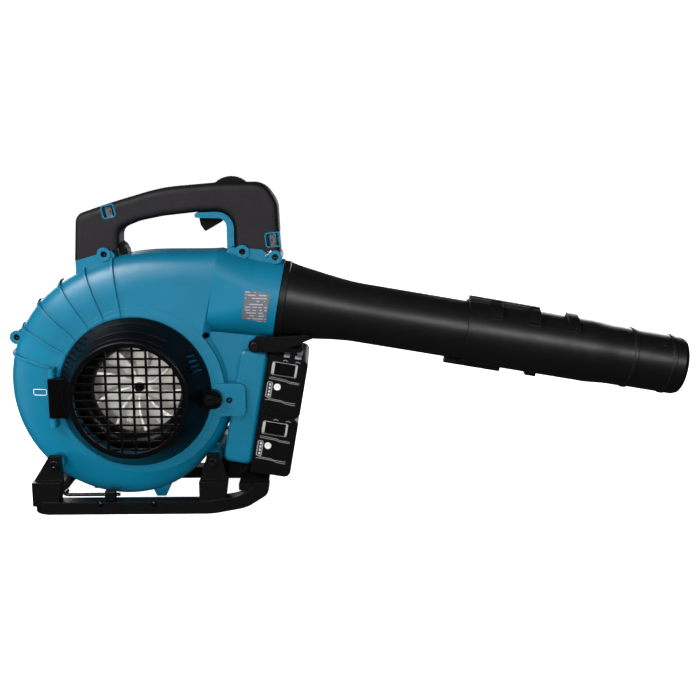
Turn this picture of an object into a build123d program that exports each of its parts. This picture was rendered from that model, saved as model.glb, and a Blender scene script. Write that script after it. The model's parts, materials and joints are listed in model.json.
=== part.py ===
"""Handheld cordless leaf blower with two slide-in battery packs and a telescopic nozzle.

Frame: +X runs toward the nozzle tip, -Y is the air inlet side, +Z is up.
The origin is on the floor, under the middle of the bounding box. Millimetres.
"""

import os
from math import cos, radians, sin

from build123d import *

os.makedirs("parts", exist_ok=True)

# ---------------------------------------------------------------- driving sizes
HALF_WIDTH = 92
WALL = 3
GAP = 0.4

# fan housing
FAN_X = -274.4
FAN_Z = 150
HALF_DEPTH = 46
SCROLL_TOP_RADIUS = 166
SCROLL_SHRINK = 29
TONGUE_RADIUS = 124
TONGUE_SHARE = 0.5
THROAT_SHARE = 0.8
INLET_RADIUS = 78

# air outlet and nozzle, which both droop toward the ground
DROOP = 9.7
OUTLET = (-93.8, 261)
DUCT_RADIUS = 52.5
PIPE_RADIUS = 38.2
PIPE_WALL = 2
TUBE_RADIUS = 41
TIP_RADIUS = 38
LOCK_STEP = 50

# battery packs, stacked along the drooping column
PACK_WIDTH = 50
PACK_HEIGHT = 77.2
PACK_FACE_Y = -62
PACK_LENGTH = 113
STACK_FOOT = (-130.2, 49)

# handle
GRIP_HALF = 20
GRIP_WALL = 3.2
DIAL = (-152, 389)
DIAL_RADIUS = 29
TRIGGER_PIVOT = (-166, 380.9)
TRIGGER_HALF = 6
WINDOW_WALL = 1.6
WINDOW_FLOOR = 4
STRAP_WINDOWS = [(-303.8, 375.1, 13, 17), (-99.8, 339.7, 5, 19)]

# stand
RAIL_Y = 70
RAIL_WIDTH = 20
RAIL_HEIGHT = 16

# motor
MOTOR_HOLE_RADIUS = 40
SHAFT_RADIUS = 3
BEARING_RADIUS = 9.5

# inlet cover
COVER_BASE_RADIUS = 96
COVER_FACE_RADIUS = 74
HINGE_X = -376
HINGE_Y = -56


# ---------------------------------------------------------------- shared geometry
def side(y):
    """Sketch plane across the machine at depth y: local x is X, local y is Z."""
    return Plane.XZ.offset(-y)


def nozzle_axis(run, rise=0):
    """Point (X, Z) that is run ahead of the outlet rim and rise above the nozzle axis."""
    slope = radians(DROOP)
    x = OUTLET[0] + run * cos(slope) + rise * sin(slope)
    z = OUTLET[1] - run * sin(slope) + rise * cos(slope)
    return x, z


def nozzle_plane(run, rise=0):
    """Plane square to the nozzle: local x is +Y, local y is the axis's up side."""
    x, z = nozzle_axis(run, rise)
    slope = radians(DROOP)
    return Plane(origin=(x, 0, z), x_dir=(0, 1, 0), z_dir=(cos(slope), 0, -sin(slope)))


def radial_plane(run, turn):
    """Plane that faces out from the nozzle axis, turned from its up side toward -Y."""
    slope = radians(DROOP)
    x, z = nozzle_axis(run)
    up_share = cos(radians(turn))
    outward = (sin(slope) * up_share, -sin(radians(turn)), cos(slope) * up_share)
    return Plane(origin=(x, 0, z), z_dir=outward)


def revolve_plane():
    """Plane through the nozzle axis: local x runs forward from the outlet, local y is up."""
    slope = radians(DROOP)
    return Plane(
        origin=(OUTLET[0], 0, OUTLET[1]),
        x_dir=(cos(slope), 0, -sin(slope)),
        z_dir=(0, -1, 0),
    )


def stack_plane(y):
    """Plane of the battery stack at depth y: local x is outward, local y is up the stack."""
    slope = radians(DROOP)
    return Plane(
        origin=(STACK_FOOT[0], y, STACK_FOOT[1]),
        x_dir=(cos(slope), 0, -sin(slope)),
        z_dir=(0, -1, 0),
    )


def scroll_point(angle):
    """Point of the fan scroll's outside at an angle, measured up from +X."""
    if angle >= 120:
        radius = SCROLL_TOP_RADIUS - SCROLL_SHRINK * ((angle - 120) / 162) ** 2
    else:
        radius = SCROLL_TOP_RADIUS + 16.2 * ((120 - angle) / 45) ** 2
    return polar(radius, angle)


def polar(radius, angle):
    """Point (X, Z) around the fan axis."""
    return (
        FAN_X + radius * cos(radians(angle)),
        FAN_Z + radius * sin(radians(angle)),
    )


def rounding_share(angle):
    """How much of the corner rounding the scroll has at an angle: all at its broad left side."""
    if angle > 250:
        return 1 - (1 - TONGUE_SHARE) * (angle - 250) / 65
    if angle < 110:
        return 1 - (1 - THROAT_SHARE) * (110 - angle) / 35
    return 1


def scroll_profile(inset=0, rounding=0):
    """Fan housing seen from the inlet side, inset from its outside and drawn in by the rounding."""

    def shrunk(angle):
        x, z = scroll_point(angle)
        draw_in = inset + rounding * rounding_share(angle)
        return x - draw_in * cos(radians(angle)), z - draw_in * sin(radians(angle))

    tongue_radius = TONGUE_RADIUS - inset - rounding * TONGUE_SHARE
    throat_top = nozzle_axis(-83, DUCT_RADIUS - inset - rounding * THROAT_SHARE)
    throat_foot = polar(tongue_radius, 36)
    with BuildSketch() as profile:
        with BuildLine():
            rim = Spline([shrunk(a) for a in range(315, 74, -15)] + [throat_top])
            Line(rim @ 1, throat_foot)
            ThreePointArc(throat_foot, polar(tongue_radius, 3), rim @ 0)
        make_face()
    return profile.sketch_local


def fan_circle(radius, hole=0):
    """Disc or ring outline around the fan axis."""
    with BuildSketch() as ring:
        with Locations((FAN_X, FAN_Z)):
            Circle(radius)
            if hole:
                Circle(hole, mode=Mode.SUBTRACT)
    return ring.sketch_local


# ---------------------------------------------------------------- fan housing halves
ROUNDING_STACK = [(14, 0), (26, 3), (34, 9), (39, 17), (43, 29), (HALF_DEPTH, 46)]
HANDLE_PAD_REAR = [(-347, 296), (-347, 313.8), (-302, 326.6), (-298, 322), (-298, 300)]
HANDLE_PAD_FRONT = [
    (-160, 300), (-160, 322), (-152, 330.5), (-148, 330.3), (-113, 327.4), (-100, 316.4), (-100, 300),
]
HANDLE_BOSSES = [(-311, 322), (-138, 325), (-97, 318)]
REAR_BOSS = (-426, 217)
WEB_SCREW = (-184, 222)
STAND_EARS = [(-376, 62), (-177, 64)]
COLUMN_CENTRE = (-19, 78)
LATCH_BOSS = (-155.5, 141)
LEVER_PIVOT = (-122.5, 210.5)
DUCT_ROUND_FROM = -34
HINGE_KNUCKLES = [(108, 120.5), (171.5, 184)]
RIB_ANGLES = [99, 111.8, 124.6, 137.4, 150.2, 163]


def scroll_body(inset):
    """Near scroll half whose outer corner is rounded over by a stack of shrinking outlines."""
    with BuildPart() as body:
        with BuildSketch(side(0)):
            add(scroll_profile(inset))
        extrude(amount=ROUNDING_STACK[0][0] * (HALF_DEPTH - inset) / HALF_DEPTH)
        for depth, rounding in ROUNDING_STACK:
            with BuildSketch(side(-depth * (HALF_DEPTH - inset) / HALF_DEPTH)):
                add(scroll_profile(inset, rounding))
        loft()
    return body.part


def duct_body(start, end, inset):
    """Air duct, square-sided at the scroll and round from DUCT_ROUND_FROM to the outlet."""
    half_height = DUCT_RADIUS - inset
    with BuildPart() as body:
        with BuildSketch(nozzle_plane(start)):
            RectangleRounded(2 * (HALF_DEPTH - inset), 2 * half_height, 30 - inset)
        with BuildSketch(nozzle_plane(DUCT_ROUND_FROM)):
            RectangleRounded(2 * half_height, 2 * half_height, half_height - 0.05)
        loft()
        with BuildSketch(nozzle_plane(DUCT_ROUND_FROM)):
            RectangleRounded(2 * half_height, 2 * half_height, half_height - 0.05)
        extrude(amount=end - DUCT_ROUND_FROM)
    return body.part


def duct_bore():
    """Air way of the duct: rounded throat, then the round socket of the nozzle."""
    with BuildPart() as bore:
        with BuildSketch(nozzle_plane(-114)):
            RectangleRounded(84, 92, 36)
        extrude(amount=100)
        with BuildSketch(nozzle_plane(DUCT_ROUND_FROM + 3)):
            Circle(DUCT_RADIUS - WALL)
        extrude(amount=-DUCT_ROUND_FROM)
    return bore.part


def column_body():
    """Near half of the column that carries the battery packs."""
    with BuildPart() as column:
        with BuildSketch(stack_plane(0)):
            with Locations(COLUMN_CENTRE):
                RectangleRounded(36, 148, 8)
        extrude(amount=HALF_DEPTH + 1.5)
        fillet(column.edges().group_by(Axis.Y)[0], 5)
    return column.part


def rib_body():
    """Raised ribs that follow the scroll's rounded corner, from the inlet ring outward."""
    with BuildPart() as ribs:
        add(scroll_body(-2.6))
        with BuildSketch(side(0)):
            with Locations((FAN_X, FAN_Z)):
                with PolarLocations(145, len(RIB_ANGLES), RIB_ANGLES[0], 12.8 * len(RIB_ANGLES)):
                    Rectangle(94, 3.2)
        extrude(amount=HALF_DEPTH + 5, mode=Mode.INTERSECT)
    return ribs.part


def housing_half(opening_radius, with_latch):
    """Inlet-side half of the fan housing: scroll, duct, battery column and handle pads."""
    with BuildPart() as half:
        add(scroll_body(0))
        add(duct_body(-84, 0, 0))
        add(column_body())
        with BuildSketch(side(0)):
            Polygon(*HANDLE_PAD_REAR, align=None)
            Polygon(*HANDLE_PAD_FRONT, align=None)
        extrude(amount=22)
        with BuildSketch(side(0)):
            with Locations(*HANDLE_BOSSES):
                Circle(8.5)
            with Locations(REAR_BOSS):
                Circle(9)
        extrude(amount=24)
        # web that ties the duct, the scroll and the column together
        with BuildSketch(side(0)):
            Polygon((-196, 228), (-110, 219), (-112, 190), (-140, 120), (-160, 160), (-200, 190), align=None)
        extrude(amount=37)
        with BuildSketch(side(0)):
            with Locations(*STAND_EARS):
                Circle(11)
            for ear_x, ear_z in STAND_EARS:
                Polygon((ear_x - 11, ear_z), (ear_x + 11, ear_z), (FAN_X, FAN_Z - 40), align=None)
            Polygon((-264, 18), (-257, 3), (-245, 3), (-238, 20), align=None)
            Polygon((-344, 30), (-338, 14), (-328, 14), (-320, 26), align=None)
        extrude(amount=20)
        with BuildSketch(side(0)):
            with Locations(*STAND_EARS):
                Circle(10)
        extrude(amount=57)
        if with_latch:
            add(rib_body())
            # seat ring around the inlet cover, and the crescent step that widens toward the duct
            with BuildSketch(side(-HALF_DEPTH + 8)):
                with Locations((FAN_X + 5.6, FAN_Z + 1)):
                    Circle(107)
                add(fan_circle(97.4), mode=Mode.SUBTRACT)
            extrude(amount=8.8)
            with BuildSketch(side(-HALF_DEPTH + 1)):
                add(fan_circle(101, 97.4))
            extrude(amount=2.6)
            with BuildSketch(side(0)):
                with Locations(LATCH_BOSS):
                    RectangleRounded(41, 42, 8)
            extrude(amount=54)
            with BuildSketch(side(0)):
                with Locations(LEVER_PIVOT):
                    Circle(6)
            extrude(amount=44)
            for foot, head in HINGE_KNUCKLES:
                with BuildSketch(Plane.XY.offset(foot)):
                    with Locations((HINGE_X, HINGE_Y)):
                        Circle(4.5)
                    with Locations((HINGE_X, HINGE_Y + 6)):
                        Rectangle(9, 12)
                    with Locations((HINGE_X, HINGE_Y)):
                        Circle(2.05, mode=Mode.SUBTRACT)
                extrude(amount=head - foot)
        # air space, and the hollow column for the controller
        add(scroll_body(WALL), mode=Mode.SUBTRACT)
        add(duct_bore(), mode=Mode.SUBTRACT)
        with BuildSketch(stack_plane(0)):
            with Locations(COLUMN_CENTRE):
                RectangleRounded(30, 142, 5)
        extrude(amount=HALF_DEPTH - WALL, mode=Mode.SUBTRACT)
        split(bisect_by=Plane.XZ, keep=Keep.TOP)
        with BuildSketch(side(-HALF_DEPTH - 1)):
            with Locations((FAN_X, FAN_Z)):
                Circle(opening_radius)
        extrude(amount=-8, mode=Mode.SUBTRACT)
        with BuildSketch(side(-60)):
            with Locations(*HANDLE_BOSSES, REAR_BOSS, WEB_SCREW):
                Circle(4)
        extrude(amount=-41, mode=Mode.SUBTRACT)
        with BuildSketch(side(0)):
            with Locations(*HANDLE_BOSSES, REAR_BOSS, WEB_SCREW):
                Circle(1.9)
        extrude(amount=HALF_DEPTH, mode=Mode.SUBTRACT)
        with BuildSketch(side(-HALF_WIDTH)):
            with Locations(LATCH_BOSS):
                Circle(4)
        extrude(amount=-41.5, mode=Mode.SUBTRACT)
        with BuildSketch(side(-HALF_WIDTH)):
            with Locations(LEVER_PIVOT):
                Circle(2.4)
        extrude(amount=-54, mode=Mode.SUBTRACT)
        with BuildSketch(side(-60)):
            with Locations(*STAND_EARS):
                Circle(3.2)
        extrude(amount=-18, mode=Mode.SUBTRACT)
    return half.part


def finish(part, name):
    """Label one sub-part and write its STEP file."""
    part.label = name
    export_step(part, f"parts/{name}.step")


finish(housing_half(INLET_RADIUS, True), "housing_near")
finish(mirror(housing_half(MOTOR_HOLE_RADIUS, False), about=Plane.XZ), "housing_far")


# ---------------------------------------------------------------- handle halves
HANDLE_TOP = [
    (-350, 313), (-346, 371), (-301, 386), (-240, 404), (-170, 410), (-110, 411), (-93, 386), (-90, 319),
]
HANDLE_TOP_RADII = [14, 120, 200, 160, 26, 30]
HANDLE_OPENING = [
    (-148, 330.3), (-148, 375.6), (-192, 374), (-237, 369), (-266, 363), (-291, 353), (-292, 329.4),
]
HANDLE_OPENING_RADII = [22, 80, 120, 60, 12]


def handle_profile(inset=0):
    """Arched handle seen from the inlet side."""
    with BuildSketch() as profile:
        with BuildLine():
            back = FilletPolyline(*HANDLE_TOP, radius=HANDLE_TOP_RADII)
            opening = FilletPolyline(*HANDLE_OPENING, radius=HANDLE_OPENING_RADII)
            Polyline(back @ 1, (-100, 316.4), (-113, 327.4), opening @ 0)
            Line(opening @ 1, back @ 0)
        make_face()
        if inset:
            offset(amount=-inset, kind=Kind.INTERSECTION)
    return profile.sketch_local


def handle_half():
    """Inlet-side half of the handle: a rounded arch, hollow for the switch and the speed dial."""
    with BuildPart() as half:
        with BuildSketch(side(0)):
            add(handle_profile())
        extrude(amount=GRIP_HALF)
        outer_edges = half.edges().group_by(Axis.Y)[0]
        fillet(outer_edges.filter_by(lambda edge: edge.center().Z > 331), 9)
        with BuildSketch(side(0)):
            add(handle_profile(GRIP_WALL))
        extrude(amount=GRIP_HALF - GRIP_WALL, mode=Mode.SUBTRACT)
        with BuildSketch(side(0)):
            with Locations(*HANDLE_BOSSES):
                Circle(8.9)
        extrude(amount=GRIP_HALF, mode=Mode.SUBTRACT)
        # slot for the trigger, and the slot that the speed dial stands out of
        with BuildSketch(side(0)):
            with Locations((-178, 372)):
                Rectangle(40, 16)
            with Locations((DIAL[0], 410)):
                Rectangle(2 * DIAL_RADIUS, 24)
        extrude(amount=8, mode=Mode.SUBTRACT)
        # relief beside the trigger for its spring
        with BuildSketch(side(0)):
            with Locations(TRIGGER_PIVOT):
                Circle(4.8)
        extrude(amount=15, mode=Mode.SUBTRACT)
        for window_x, window_z, lean, size in STRAP_WINDOWS:
            with BuildSketch(side(-WINDOW_FLOOR)):
                with Locations(Location((window_x, window_z), lean)):
                    Rectangle(size + GAP, size + GAP)
            extrude(amount=GRIP_HALF, mode=Mode.SUBTRACT)
    return half.part


finish(handle_half(), "handle_near")
finish(mirror(handle_half(), about=Plane.XZ), "handle_far")


# ---------------------------------------------------------------- strap windows
def strap_window(x, z, lean, size):
    """Lined pocket in the handle's side that a shoulder strap's hook reaches into."""
    with BuildPart() as window:
        with BuildSketch(side(-WINDOW_FLOOR - GAP)):
            with Locations(Location((x, z), lean)):
                RectangleRounded(size, size, 3)
        extrude(amount=GRIP_HALF - WINDOW_FLOOR - GAP)
        with BuildSketch(side(-WINDOW_FLOOR - 3)):
            with Locations(Location((x, z), lean)):
                RectangleRounded(size - 2 * WINDOW_WALL, size - 2 * WINDOW_WALL, 2)
        extrude(amount=GRIP_HALF, mode=Mode.SUBTRACT)
    return window.part


def strap_bar(x, z, lean, size):
    """Steel bar across a strap window."""
    with BuildPart() as bar:
        with BuildSketch(side(-GRIP_HALF + 8)):
            with Locations(Location((x, z), lean)):
                Rectangle(7.6, size - 2 * WINDOW_WALL)
        extrude(amount=4)
    return bar.part


for place, window_at in zip(("rear", "front"), STRAP_WINDOWS):
    finish(strap_window(*window_at), f"strap_window_{place}")
    finish(strap_bar(*window_at), f"strap_bar_{place}")

# ---------------------------------------------------------------- trigger group
with BuildPart() as trigger_surround:
    with BuildSketch(side(0)):
        with BuildLine():
            guard_back = FilletPolyline((-148.4, 331), (-148.4, 375.2), (-195, 373.2), radius=21.6)
            guard_front = FilletPolyline((-195, 366.8), (-157.5, 366), (-157.5, 326.6), radius=11)
            ThreePointArc(guard_back @ 1, (-197.4, 370), guard_front @ 0)
            Polyline(guard_front @ 1, (-152.4, 330.9), guard_back @ 0)
        make_face()
    extrude(amount=16.4, both=True)
    with BuildSketch(side(0)):
        with Locations((-178, 367.5)):
            Rectangle(39.5, 21)
    extrude(amount=TRIGGER_HALF + 1, both=True, mode=Mode.SUBTRACT)
finish(trigger_surround.part, "trigger_surround")

with BuildPart() as trigger:
    with BuildSketch(side(0)):
        with BuildLine():
            FilletPolyline(
                (-186, 385), (-193, 366), (-191, 357), (-185.5, 349), (-163, 362), (-159.5, 372),
                (-160.5, 385),
                radius=[3, 12, 6, 2.5, 8, 6, 3],
                close=True,
            )
        make_face()
    extrude(amount=TRIGGER_HALF, both=True)
    with BuildSketch(side(0)):
        with Locations(TRIGGER_PIVOT):
            Circle(2.05)
    extrude(amount=TRIGGER_HALF + 1, both=True, mode=Mode.SUBTRACT)
finish(trigger.part, "trigger")

with BuildPart() as trigger_pin:
    with BuildSketch(side(0)):
        with Locations(TRIGGER_PIVOT):
            Circle(2)
    extrude(amount=GRIP_HALF - GRIP_WALL - 0.5, both=True)
finish(trigger_pin.part, "trigger_pin")

with BuildPart() as trigger_spring:
    # close-wound torsion spring around the pin, beside the trigger
    for coil in range(6):
        with BuildSketch(side(-TRIGGER_HALF - GAP - 1.25 * coil)):
            with Locations(TRIGGER_PIVOT):
                Circle(4.4)
                Circle(3.2, mode=Mode.SUBTRACT)
        extrude(amount=1.2)
    with BuildSketch(side(-TRIGGER_HALF - GAP)):
        with Locations(TRIGGER_PIVOT):
            Circle(3.8)
            Circle(3.2, mode=Mode.SUBTRACT)
    extrude(amount=7.4)
finish(trigger_spring.part, "trigger_spring")

with BuildPart() as power_switch:
    with BuildSketch(side(0)):
        with Locations((-128, 350)):
            RectangleRounded(30, 30, 2)
    extrude(amount=10, both=True)
finish(power_switch.part, "power_switch")

with BuildPart() as speed_dial:
    # a sector of a disc on a round hub, with finger notches around its rim
    with BuildSketch(side(0)):
        with BuildLine():
            arc = CenterArc(DIAL, DIAL_RADIUS, 20, 140)
            Polyline(arc @ 1, DIAL, arc @ 0)
        make_face()
        with Locations(DIAL):
            Circle(6)
        with Locations(DIAL):
            with PolarLocations(DIAL_RADIUS + 0.6, 15, start_angle=27, angular_range=126):
                Circle(1.2, mode=Mode.SUBTRACT)
    extrude(amount=7.4, both=True)
    with BuildSketch(side(0)):
        with Locations(DIAL):
            Circle(3)
    extrude(amount=GRIP_HALF - GRIP_WALL - 0.2, both=True)
finish(speed_dial.part, "speed_dial")

# ---------------------------------------------------------------- fan and motor
FAN_RADIUS = 96
BLADES = 9
FAN_AXIS = Axis((FAN_X, 0, FAN_Z), (0, 1, 0))


with BuildSketch() as blade_section:
    with BuildLine():
        pressure_side = ThreePointArc((14, -5), (56, -3), (93, 24))
        suction_side = ThreePointArc((91, 26), (55, 0), (14, -2.4))
        Line(pressure_side @ 1, suction_side @ 0)
        Line(suction_side @ 1, pressure_side @ 0)
    make_face()
BLADE = blade_section.sketch_local

with BuildPart() as impeller:
    with BuildSketch(side(36.5)):
        with Locations((FAN_X, FAN_Z)):
            Circle(FAN_RADIUS)
    extrude(amount=2.5)
    # hub flares from the shaft nose to the back plate
    with BuildSketch(Plane.XY.offset(FAN_Z)):
        with BuildLine():
            Line((FAN_X, 34.5), (FAN_X + 72, 34.5))
            flare = ThreePointArc((FAN_X + 72, 34.5), (FAN_X + 36, 14), (FAN_X + 14, -14))
            Polyline(flare @ 1, (FAN_X + 11, -17), (FAN_X, -17), (FAN_X, 34.5))
        make_face()
    revolve(axis=FAN_AXIS)
    with BuildSketch(side(35)):
        with Locations((FAN_X, FAN_Z)):
            with PolarLocations(0, BLADES):
                add(BLADE)
    extrude(amount=63)
    # leading edges slope from the hub's nose to the shroud
    with BuildSketch(Plane.XY.offset(FAN_Z)):
        Polygon((FAN_X, -29), (FAN_X + 60, -29), (FAN_X + 15, -17), (FAN_X, -17), align=None)
    revolve(axis=FAN_AXIS, mode=Mode.SUBTRACT)
    with BuildSketch(side(-28)):
        add(fan_circle(FAN_RADIUS, 60))
    extrude(amount=2)
    # the cone is hollow behind, around the boss that takes the shaft
    with BuildSketch(Plane.XY.offset(FAN_Z)):
        with BuildLine():
            hollow = ThreePointArc((FAN_X + 66, 37), (FAN_X + 32, 18), (FAN_X + 11, -8))
            Polyline(hollow @ 1, (FAN_X + 8, -8), (FAN_X + 8, 37), hollow @ 0)
        make_face()
    revolve(axis=FAN_AXIS, mode=Mode.SUBTRACT)
    with BuildSketch(side(40)):
        add(fan_circle(SHAFT_RADIUS))
    extrude(amount=60, mode=Mode.SUBTRACT)
finish(impeller.part, "impeller")

# curved ring in the housing's inlet that leads the air into the fan's eye
with BuildPart() as inlet_funnel:
    with BuildSketch(Plane.XY.offset(FAN_Z)):
        with BuildLine():
            outside = ThreePointArc((FAN_X + 77.9, -43.2), (FAN_X + 62, -41), (FAN_X + 57, -32))
            inside = ThreePointArc((FAN_X + 55, -32), (FAN_X + 60.5, -43), (FAN_X + 77.9, -45.8))
            Line(outside @ 1, inside @ 0)
            Line(inside @ 1, outside @ 0)
        make_face()
    revolve(axis=FAN_AXIS)
finish(inlet_funnel.part, "inlet_funnel")

with BuildPart() as impeller_screw:
    with BuildSketch(side(-17)):
        add(fan_circle(6.5))
    extrude(amount=4)
    chamfer(impeller_screw.edges().group_by(Axis.Y)[0], 1)
    with BuildSketch(side(-21)):
        with Locations((FAN_X, FAN_Z)):
            RegularPolygon(2.5, 6)
    extrude(amount=-2.5, mode=Mode.SUBTRACT)
finish(impeller_screw.part, "impeller_screw")

with BuildPart() as motor_mount:
    with BuildSketch(side(50)):
        add(fan_circle(46, BEARING_RADIUS))
    extrude(amount=3.7)
    with BuildSketch(side(50)):
        add(fan_circle(MOTOR_HOLE_RADIUS - GAP, BEARING_RADIUS))
    extrude(amount=8.5)
    with BuildSketch(side(41.5)):
        add(fan_circle(BEARING_RADIUS + 3, 7))
    extrude(amount=1.5)
finish(motor_mount.part, "motor_mount")

with BuildPart() as motor_bearings:
    for bearing_y in (50, 88):
        with BuildSketch(side(bearing_y)):
            add(fan_circle(BEARING_RADIUS - 0.02, SHAFT_RADIUS + 0.02))
        extrude(amount=6)
finish(motor_bearings.part, "motor_bearings")

with BuildPart() as motor_rotor:
    with BuildSketch(side(89)):
        add(fan_circle(SHAFT_RADIUS))
    extrude(amount=106)
    with BuildSketch(side(79)):
        add(fan_circle(19))
    extrude(amount=26)
finish(motor_rotor.part, "motor_rotor")

with BuildPart() as motor_stator:
    with BuildSketch(side(80)):
        add(fan_circle(34, 29))
    extrude(amount=28)
    with BuildSketch(side(78)):
        with Locations((FAN_X, FAN_Z)):
            with PolarLocations(25, 12):
                Rectangle(11, 7)
        add(fan_circle(19.6), mode=Mode.SUBTRACT)
    extrude(amount=24)
finish(motor_stator.part, "motor_stator")

with BuildPart() as motor_cover:
    with BuildSketch(side(HALF_DEPTH + GAP)):
        add(fan_circle(56))
    extrude(amount=-(HALF_WIDTH - HALF_DEPTH - GAP))
    fillet(motor_cover.edges().group_by(Axis.Y)[-1], 8)
    with BuildSketch(side(HALF_DEPTH)):
        add(fan_circle(53))
    extrude(amount=-(HALF_WIDTH - HALF_DEPTH - 3), mode=Mode.SUBTRACT)
    # bearing seat inside the end wall
    with BuildSketch(side(HALF_WIDTH - 3)):
        add(fan_circle(BEARING_RADIUS + 3, BEARING_RADIUS))
    extrude(amount=7)
    # cooling slots in the end wall and around the side
    with BuildSketch(side(HALF_WIDTH + 1)):
        for row in range(-5, 6):
            if abs(row) > 2:
                with Locations((FAN_X, FAN_Z + 7 * row)):
                    Rectangle(2 * (44 ** 2 - (7 * row) ** 2) ** 0.5, 2.6)
    extrude(amount=8, mode=Mode.SUBTRACT)
    with BuildSketch(side(HALF_DEPTH)):
        with Locations((FAN_X, FAN_Z)):
            with PolarLocations(54, 24):
                Rectangle(12, 3)
    extrude(amount=-14, mode=Mode.SUBTRACT)
finish(motor_cover.part, "motor_cover")

with BuildPart() as controller:
    with BuildSketch(stack_plane(-32)):
        with Locations((COLUMN_CENTRE[0], 90)):
            RectangleRounded(24, 86, 3)
    extrude(amount=-64)
finish(controller.part, "controller")

# ---------------------------------------------------------------- battery packs
COLUMN_SIDE = -1
CHANNEL_BASE = 25
CHANNEL_HEAD = 30
BUTTON = (22.4, -16)
BUTTON_SIZE = (25, 15)
BUTTON_TRAVEL = 3
GAUGE = (6.8, -44)
CHECK = (16.5, -39.2)
CASE_JOINT = 28
PACKS = {"lower": 0.5, "upper": PACK_HEIGHT + 0.5}


def pack_height_centre(name):
    """Middle of one pack, up the stack."""
    return PACKS[name] + PACK_HEIGHT / 2 - 0.5


def terminal_holder(middle):
    """T-shaped rail with the pack's contacts, fixed to the battery column."""
    with BuildPart() as holder:
        with BuildSketch(stack_plane(-HALF_DEPTH)):
            with Locations(((COLUMN_SIDE + 4.4) / 2, middle)):
                Rectangle(4.4 - COLUMN_SIDE, 2 * CHANNEL_BASE)
            with Locations((6.4, middle)):
                Rectangle(4, 2 * CHANNEL_HEAD)
        extrude(amount=-2 * HALF_DEPTH)
    return holder.part


def pack_block(middle):
    """Solid outer shape of one pack with the channel that rides on its terminal holder."""
    height = PACK_HEIGHT - 1
    with BuildPart() as block:
        with BuildSketch(stack_plane(PACK_FACE_Y)):
            with Locations((PACK_WIDTH / 2, middle)):
                Rectangle(PACK_WIDTH, height)
        extrude(amount=-PACK_LENGTH)
        long_edges = block.edges().filter_by(Axis.Y).sort_by(
            lambda edge: stack_plane(0).to_local_coords(edge.center()).X
        )
        fillet(long_edges[-2:], 8)
        with BuildSketch(stack_plane(-HALF_DEPTH - 1.5)):
            with Locations((2.4, middle)):
                Rectangle(4.8, 2 * CHANNEL_BASE + 1)
            with Locations((6.6, middle)):
                Rectangle(4.8, 2 * CHANNEL_HEAD + 1)
        extrude(amount=-PACK_LENGTH, mode=Mode.SUBTRACT)
    return block.part


def pack_case(middle):
    """Rail side of a pack's case: face with the release recess, gauge seat and check hole."""
    top = middle + PACK_HEIGHT / 2
    with BuildPart() as case:
        add(pack_block(middle))
        with BuildSketch(stack_plane(PACK_FACE_Y + 16)):
            with Locations((29.5, middle)):
                RectangleRounded(36, PACK_HEIGHT - 6, 5)
        extrude(amount=-PACK_LENGTH + 19, mode=Mode.SUBTRACT)
        # outer half of the box belongs to the base
        with BuildSketch(stack_plane(PACK_FACE_Y + 14)):
            with Locations((CASE_JOINT + 20, middle)):
                Rectangle(40, PACK_HEIGHT + 2)
        extrude(amount=-PACK_LENGTH, mode=Mode.SUBTRACT)
        with BuildSketch(stack_plane(PACK_FACE_Y)):
            with Locations((BUTTON[0] + 1, top + BUTTON[1])):
                RectangleRounded(BUTTON_SIZE[0] + BUTTON_TRAVEL, BUTTON_SIZE[1], 1.5)
        extrude(amount=-9, mode=Mode.SUBTRACT)
        with BuildSketch(stack_plane(PACK_FACE_Y)):
            with Locations((GAUGE[0], top + GAUGE[1])):
                RectangleRounded(10, 20, 3)
        extrude(amount=-1, mode=Mode.SUBTRACT)
        with BuildSketch(stack_plane(PACK_FACE_Y)):
            with Locations((CHECK[0], top + CHECK[1])):
                Circle(4.5)
        extrude(amount=-4, mode=Mode.SUBTRACT)
        # two moulded ledges across the face
        for ledge in (-29, -58):
            with BuildSketch(stack_plane(PACK_FACE_Y)):
                with Locations((PACK_WIDTH / 2 - 3, top + ledge)):
                    Rectangle(36, 1.2)
            extrude(amount=-0.8, mode=Mode.SUBTRACT)
    return case.part


def pack_base(middle):
    """Outer side of a pack's case, closed over the cells."""
    with BuildPart() as base:
        add(pack_block(middle))
        with BuildSketch(stack_plane(PACK_FACE_Y + 16)):
            with Locations((29.5, middle)):
                RectangleRounded(36, PACK_HEIGHT - 6, 5)
        extrude(amount=-PACK_LENGTH + 19, mode=Mode.SUBTRACT)
        with BuildSketch(stack_plane(PACK_FACE_Y - 1)):
            with Locations((CASE_JOINT / 2 - 1, middle)):
                Rectangle(CASE_JOINT + 2, PACK_HEIGHT + 2)
        extrude(amount=-PACK_LENGTH - 2, mode=Mode.SUBTRACT)
        with BuildSketch(stack_plane(PACK_FACE_Y - 1)):
            with Locations((PACK_WIDTH / 2, middle)):
                Rectangle(PACK_WIDTH + 2, PACK_HEIGHT + 2)
        extrude(amount=-15, mode=Mode.SUBTRACT)
    return base.part


def stack_floor(height):
    """Plane square to the stack: local x is outward, local y is +Y."""
    slope = radians(DROOP)
    foot = (STACK_FOOT[0] + height * sin(slope), 0, STACK_FOOT[1] + height * cos(slope))
    return Plane(origin=foot, x_dir=(cos(slope), 0, -sin(slope)), z_dir=(sin(slope), 0, cos(slope)))


def pack_cells(middle):
    """Two rows of five cells that stand up the stack."""
    with BuildPart() as cells:
        with BuildSketch(stack_floor(middle - 31)):
            with Locations((29.5, 1)):
                with GridLocations(17.8, 18.6, 2, 5):
                    Circle(8.8)
        extrude(amount=62)
    return cells.part


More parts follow.
